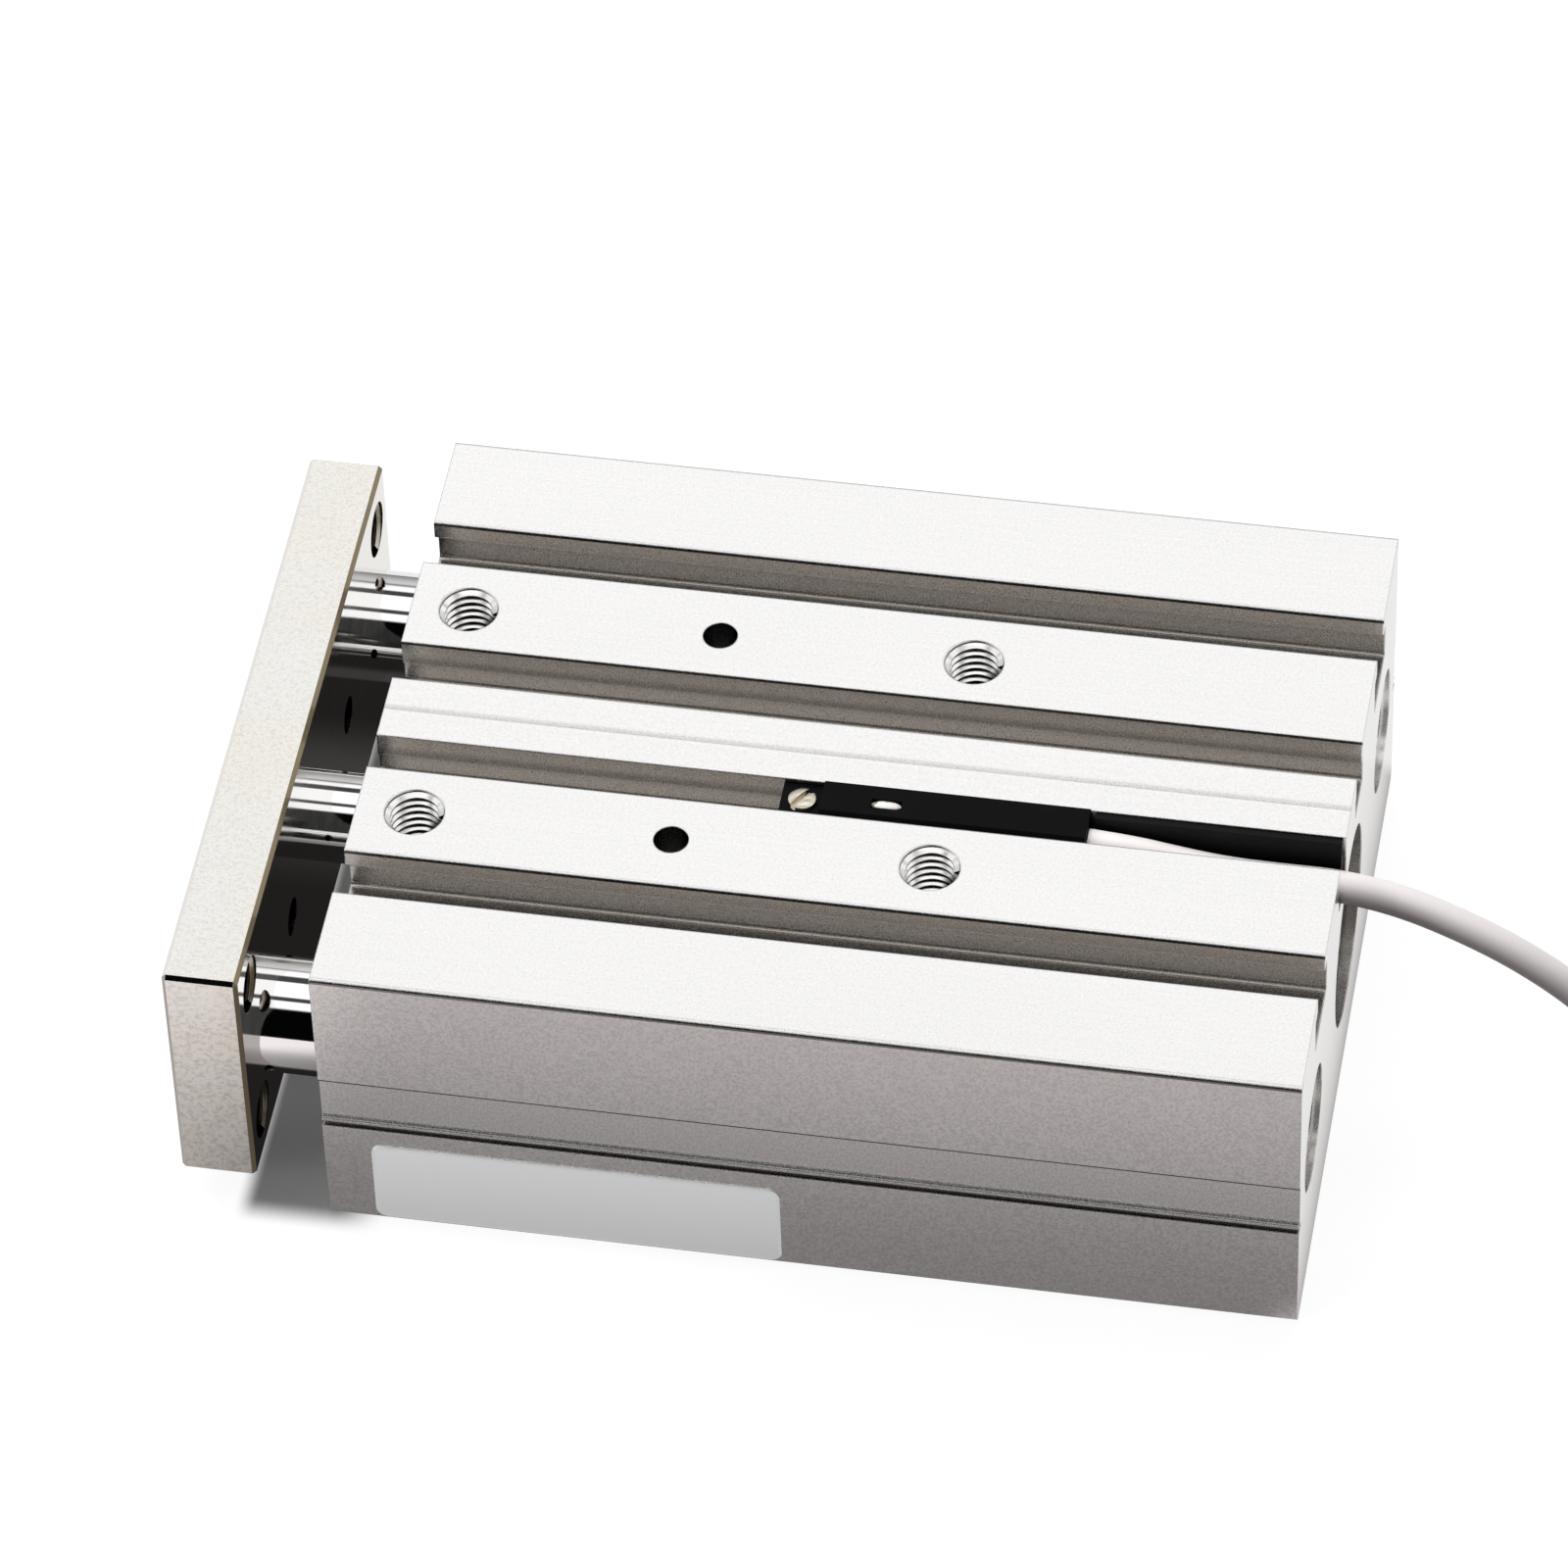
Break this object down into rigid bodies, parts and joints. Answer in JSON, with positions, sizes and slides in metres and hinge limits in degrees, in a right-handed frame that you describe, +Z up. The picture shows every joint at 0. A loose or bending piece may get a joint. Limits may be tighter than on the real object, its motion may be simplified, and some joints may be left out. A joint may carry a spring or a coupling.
{
  "type": "guided pneumatic cylinder",
  "caption": "Compact guided air cylinder: a flat slotted aluminium body whose piston rod and twin guide rods push a front plate, with a position switch clamped in a top slot.",
  "frame": {"origin": "centre of the body's flat lower face, halfway along the body's length", "axes": "+X from the front plate towards the body's closed rear end, +Z up out of the slotted top face, +Y across the body away from the blank name plate"},
  "size_m": [0.1732, 0.0641, 0.03],
  "materials": {
    "body_alloy": "clear anodised extrusion, satin, with fine drawing lines",
    "cover_alloy": "turned and anodised",
    "plate_steel": "bead blasted and nickel plated",
    "rod_chrome": "ground and hard chrome plated",
    "screw_steel": "zinc-nickel plated",
    "ring_steel": "phosphated spring steel",
    "bush_bronze": "sintered bronze",
    "seal_rubber": "smooth nitrile rubber",
    "bumper_rubber": "polyurethane, dull",
    "piston_alloy": "turned, bright",
    "magnet_compound": "rubber-bonded magnet",
    "wear_plastic": "filled wear compound",
    "label_foil": "thin blank foil, semi-gloss",
    "switch_plastic": "fine moulded texture",
    "clamp_brass": "nickel flashed, slot worn bright",
    "window_plastic": "milky, clear indicator lens",
    "strip_plastic": "extruded, dull",
    "lead_jacket": "smooth light grey jacket",
    "core_brown": "insulation",
    "core_blue": "insulation",
    "core_tinned": "tinned strands"
  },
  "bodies": {
    "cylinder": {"cylinder_body": "body_alloy", "rod_cover": "cover_alloy", "rod_cover_oring": "seal_rubber", "rod_seal": "seal_rubber", "rod_bush": "bush_bronze", "front_snap_ring": "ring_steel", "head_cover": "cover_alloy", "head_cover_oring": "seal_rubber", "rear_snap_ring": "ring_steel", "guide_bush_front_left": "bush_bronze", "guide_bush_inner_left": "bush_bronze", "guide_bush_front_right": "bush_bronze", "guide_bush_inner_right": "bush_bronze", "name_label": "label_foil", "switch_case": "switch_plastic", "switch_clamp_screw": "clamp_brass", "switch_window": "window_plastic", "slot_strip": "strip_plastic", "sensor_lead": "lead_jacket", "lead_coil": "lead_jacket", "lead_core_brown": "core_brown", "lead_core_blue": "core_blue", "lead_core_tips": "core_tinned"},
    "slide": {"front_plate": "plate_steel", "guide_rod_left": "rod_chrome", "guide_rod_right": "rod_chrome", "guide_rod_screw_left": "screw_steel", "guide_rod_screw_right": "screw_steel", "piston_rod": "rod_chrome", "piston_rod_screw": "screw_steel", "piston": "piston_alloy", "piston_seal": "seal_rubber", "piston_magnet": "magnet_compound", "piston_wear_ring": "wear_plastic", "piston_nut": "screw_steel", "piston_bumper_front": "bumper_rubber", "piston_bumper_rear": "bumper_rubber"}
  },
  "joints": [
    {"name": "plate_slide", "type": "slide", "parent": "cylinder", "child": "slide", "axis": [-1, 0, 0], "range_m": [0, 0.05]}
  ]
}
